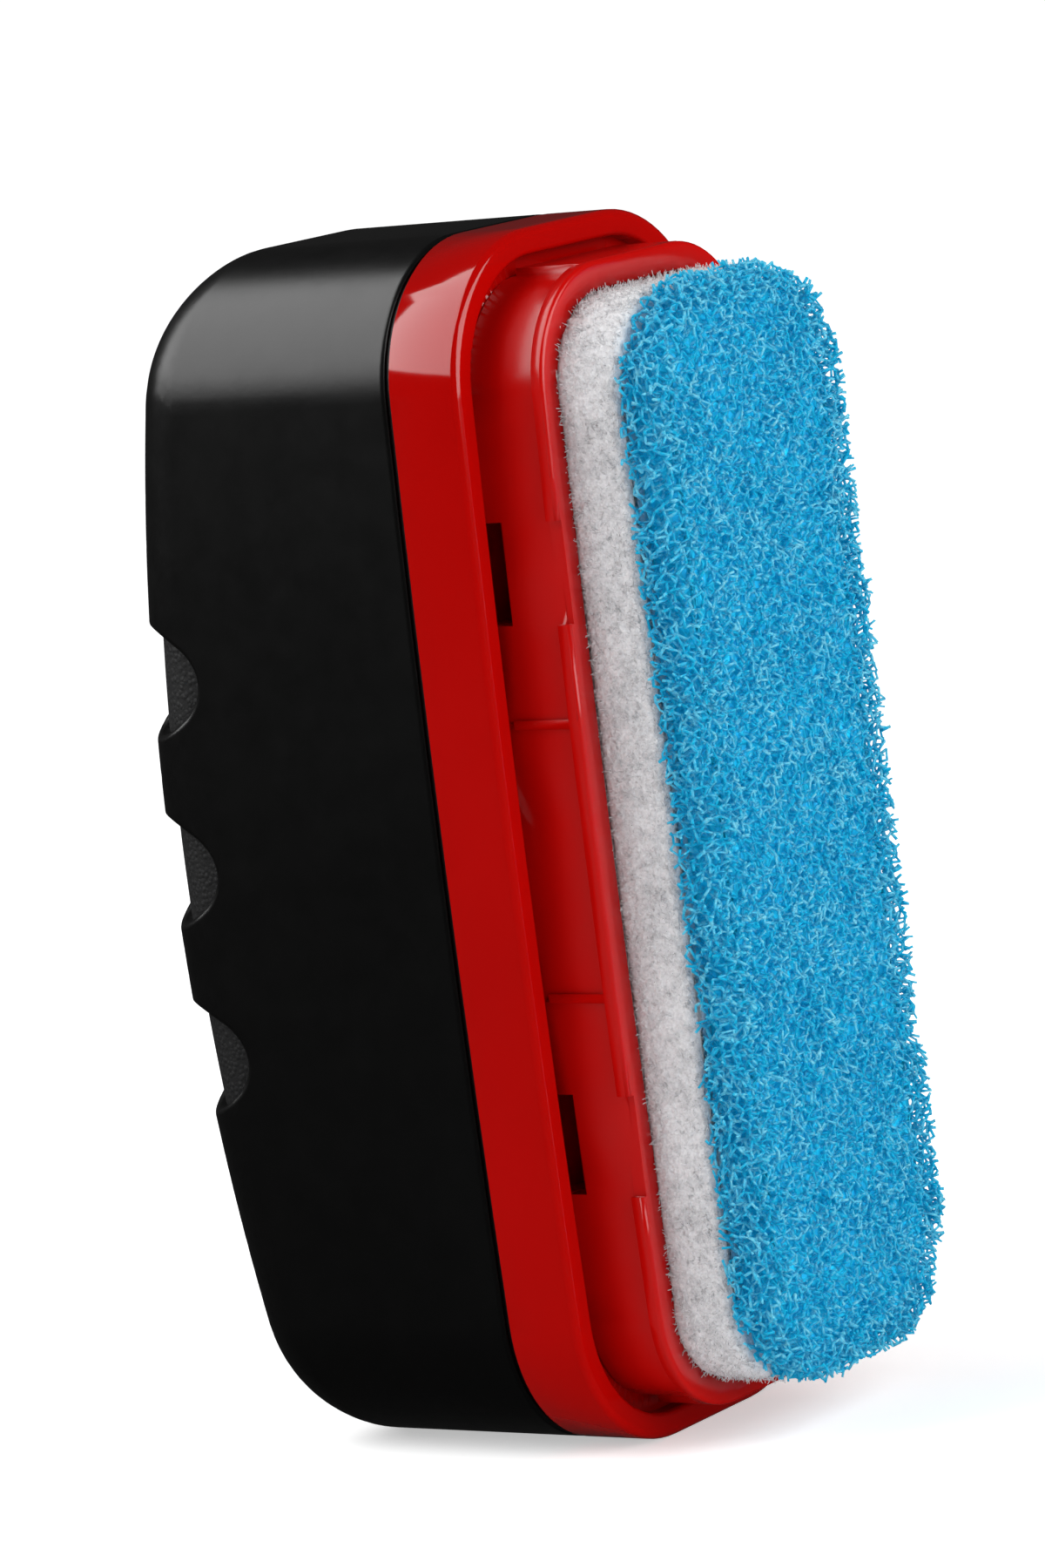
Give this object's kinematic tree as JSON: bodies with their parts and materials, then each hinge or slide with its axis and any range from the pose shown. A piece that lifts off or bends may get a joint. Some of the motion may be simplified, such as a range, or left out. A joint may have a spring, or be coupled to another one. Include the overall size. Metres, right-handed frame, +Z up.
{
  "type": "magnetic glass cleaner",
  "caption": "Hand-held magnetic aquarium glass cleaner: rounded black grip casing on a red base, with a clip-on holder and a two-layer scouring pad facing the glass.",
  "frame": {"origin": "middle of the flat bottom end, under the middle of the whole object's box", "axes": "+Z up along the length, -Y towards the glass, +Y towards the palm, X across the width"},
  "size_m": [0.045, 0.065, 0.12],
  "materials": {
    "case_abs": "satin moulded ABS, fine grain on the palm side",
    "grip_rubber": "matt, finely stippled",
    "seal_rubber": "smooth",
    "base_abs": "glossy moulded",
    "holder_abs": "satin moulded",
    "steel": "zinc plated",
    "screw_steel": "stainless",
    "clamp_plastic": "moulded",
    "ferrite": "sintered ferrite",
    "hook_tape": "hook tape",
    "loop_cloth": "loop cloth",
    "white_foam": "fine open foam",
    "blue_foam": "coarse reticulated foam"
  },
  "bodies": {
    "cleaner": {"grip_shell": "case_abs", "seam_gasket": "seal_rubber", "base_frame": "base_abs", "yoke_plate": "steel", "magnet_clamp": "clamp_plastic", "clamp_screws": "screw_steel", "base_screws": "screw_steel", "screw_seals": "seal_rubber", "finger_pad_left_lower": "grip_rubber", "finger_pad_left_middle": "grip_rubber", "finger_pad_left_upper": "grip_rubber", "finger_pad_right_lower": "grip_rubber", "finger_pad_right_middle": "grip_rubber", "finger_pad_right_upper": "grip_rubber", "magnet_lower": "ferrite", "magnet_middle": "ferrite", "magnet_upper": "ferrite"},
    "holder": {"pad_holder": "holder_abs", "hook_tape_lower": "hook_tape", "hook_tape_upper": "hook_tape"},
    "pad": {"loop_sheet": "loop_cloth", "fleece_layer": "white_foam", "scouring_layer": "blue_foam"}
  },
  "joints": [
    {"name": "holder_pull", "type": "slide", "parent": "cleaner", "child": "holder", "axis": [0, -1, 0], "range_m": [0, 0.02]},
    {"name": "pad_pull", "type": "slide", "parent": "holder", "child": "pad", "axis": [0, -1, 0], "range_m": [0, 0.02]}
  ]
}
